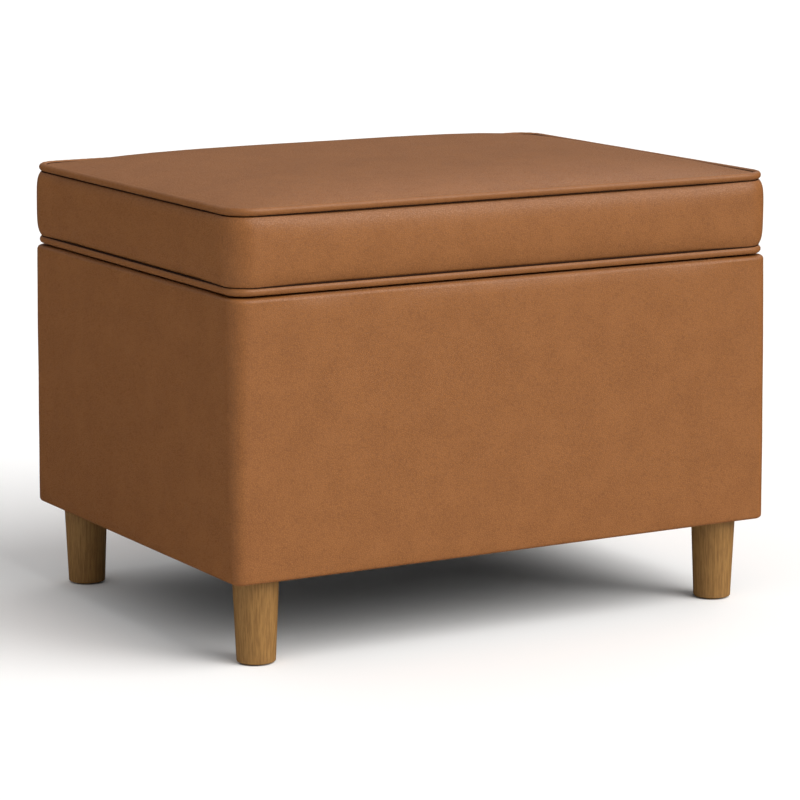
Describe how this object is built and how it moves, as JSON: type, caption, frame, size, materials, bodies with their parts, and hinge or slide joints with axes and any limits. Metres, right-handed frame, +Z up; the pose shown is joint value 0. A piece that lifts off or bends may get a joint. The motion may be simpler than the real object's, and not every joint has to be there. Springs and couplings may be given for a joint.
{
  "type": "storage ottoman",
  "caption": "Rectangular upholstered storage ottoman with a hinged, crowned lid edged in piping, held by side stays, on round tapered wooden legs.",
  "frame": {"origin": "On the floor below the middle of the box, midway between the four legs", "axes": "+X to the right along the width, +Y to the back where the lid is hinged, +Z up"},
  "size_m": [0.6144, 0.4635, 0.4569],
  "materials": {
    "leather": "satin",
    "oak": "satin",
    "plywood": "matte",
    "pine": "matte",
    "wadding": "matte",
    "foam": "matte",
    "black_cloth": "matte",
    "lining_board": "matte",
    "black_steel": "satin",
    "zinc_steel": "satin",
    "glide_plastic": "matte",
    "bumper_rubber": "matte"
  },
  "bodies": {
    "box": {"front_panel": "plywood", "back_panel": "plywood", "left_panel": "plywood", "right_panel": "plywood", "floor_panel": "plywood", "front_back_cleats": "pine", "side_cleats": "pine", "leg_block_front_left": "pine", "leg_block_front_right": "pine", "leg_block_back_left": "pine", "leg_block_back_right": "pine", "leg_front_left": "oak", "leg_front_right": "oak", "leg_back_left": "oak", "leg_back_right": "oak", "hanger_bolts": "zinc_steel", "tee_nuts": "zinc_steel", "foot_glides": "glide_plastic", "box_padding": "wadding", "box_cover": "leather", "dust_cover": "black_cloth", "dust_cover_staples": "zinc_steel", "liner_front": "lining_board", "liner_back": "lining_board", "liner_left": "lining_board", "liner_right": "lining_board", "liner_floor": "lining_board", "frame_screws": "zinc_steel", "rim_bumpers": "bumper_rubber", "hinge_box_leaf_left": "black_steel", "hinge_box_leaf_right": "black_steel", "hinge_pins": "zinc_steel", "hinge_box_screws": "zinc_steel", "stay_box_bracket_left": "black_steel", "stay_box_bracket_right": "black_steel", "stay_box_rivets": "zinc_steel", "stay_box_screws": "zinc_steel"},
    "lid": {"lid_board": "plywood", "lid_foam": "foam", "lid_wadding": "wadding", "lid_top_cover": "leather", "lid_boxing": "leather", "lid_top_welt": "leather", "lid_bottom_welt": "leather", "welt_cords": "wadding", "lid_lining": "black_cloth", "hinge_lid_leaf_left": "black_steel", "hinge_lid_leaf_right": "black_steel", "hinge_lid_screws": "zinc_steel", "stay_lid_bracket_left": "black_steel", "stay_lid_bracket_right": "black_steel", "stay_lid_rivets": "zinc_steel", "stay_lid_screws": "zinc_steel"},
    "stay_lower_left": {"stay_lower_arm_left": "black_steel", "stay_elbow_rivet_left": "zinc_steel"},
    "stay_lower_right": {"stay_lower_arm_right": "black_steel", "stay_elbow_rivet_right": "zinc_steel"},
    "stay_upper_left": {"stay_upper_arm_left": "black_steel"},
    "stay_upper_right": {"stay_upper_arm_right": "black_steel"}
  },
  "joints": [
    {"name": "lid_hinge", "type": "hinge", "parent": "box", "child": "lid", "pos_m": [0, 0.2298, 0.3577], "axis": [-1, 0, 0], "range_deg": [0, 95]},
    {"name": "stay_box_pivot_left", "type": "hinge", "parent": "box", "child": "stay_lower_left", "pos_m": [-0.276, 0.14624, 0.25811], "axis": [-1, 0, 0], "range_deg": [0, 95]},
    {"name": "stay_lid_pivot_left", "type": "hinge", "parent": "lid", "child": "stay_upper_left", "pos_m": [-0.273, 0.10025, 0.3469], "axis": [-1, 0, 0], "range_deg": [-95, 0]},
    {"name": "stay_box_pivot_right", "type": "hinge", "parent": "box", "child": "stay_lower_right", "pos_m": [0.276, 0.14624, 0.25811], "axis": [-1, 0, 0], "range_deg": [0, 95]},
    {"name": "stay_lid_pivot_right", "type": "hinge", "parent": "lid", "child": "stay_upper_right", "pos_m": [0.273, 0.10025, 0.3469], "axis": [-1, 0, 0], "range_deg": [-95, 0]}
  ],
  "couplings": [
    {"joint": "stay_box_pivot_left", "follows": "lid_hinge", "ratio": 1},
    {"joint": "stay_lid_pivot_left", "follows": "lid_hinge", "ratio": -1},
    {"joint": "stay_box_pivot_right", "follows": "lid_hinge", "ratio": 1},
    {"joint": "stay_lid_pivot_right", "follows": "lid_hinge", "ratio": -1}
  ]
}
